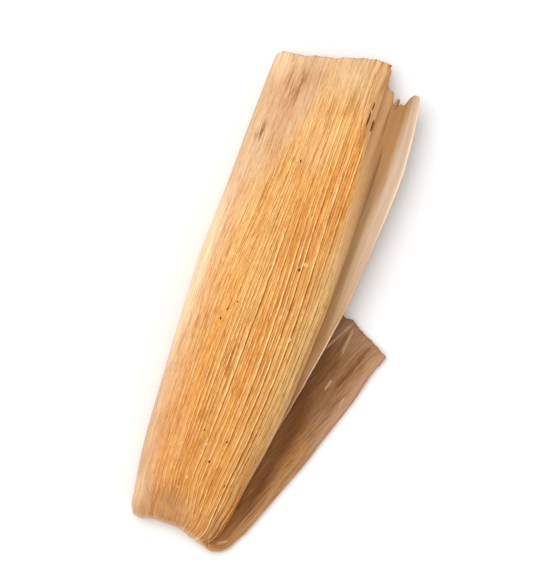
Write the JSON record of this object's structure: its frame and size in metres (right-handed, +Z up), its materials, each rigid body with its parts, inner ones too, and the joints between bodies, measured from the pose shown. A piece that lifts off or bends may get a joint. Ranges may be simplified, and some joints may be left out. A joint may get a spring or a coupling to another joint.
{
  "type": "tamale",
  "caption": "Tamale wrapped in a dried corn husk, its narrow end folded under, its loose margin standing out along one side.",
  "frame": {"origin": "on the table, under the middle of the footprint", "axes": "+Z up, +Y from the folded foot to the open mouth, +X to the side where the tail and the loose margin show"},
  "size_m": [0.0666, 0.1656, 0.0274],
  "materials": {
    "corn_husk": "dry, fibrous, low sheen"
  },
  "bodies": {
    "root": {"husk": "corn_husk"}
  },
  "joints": []
}
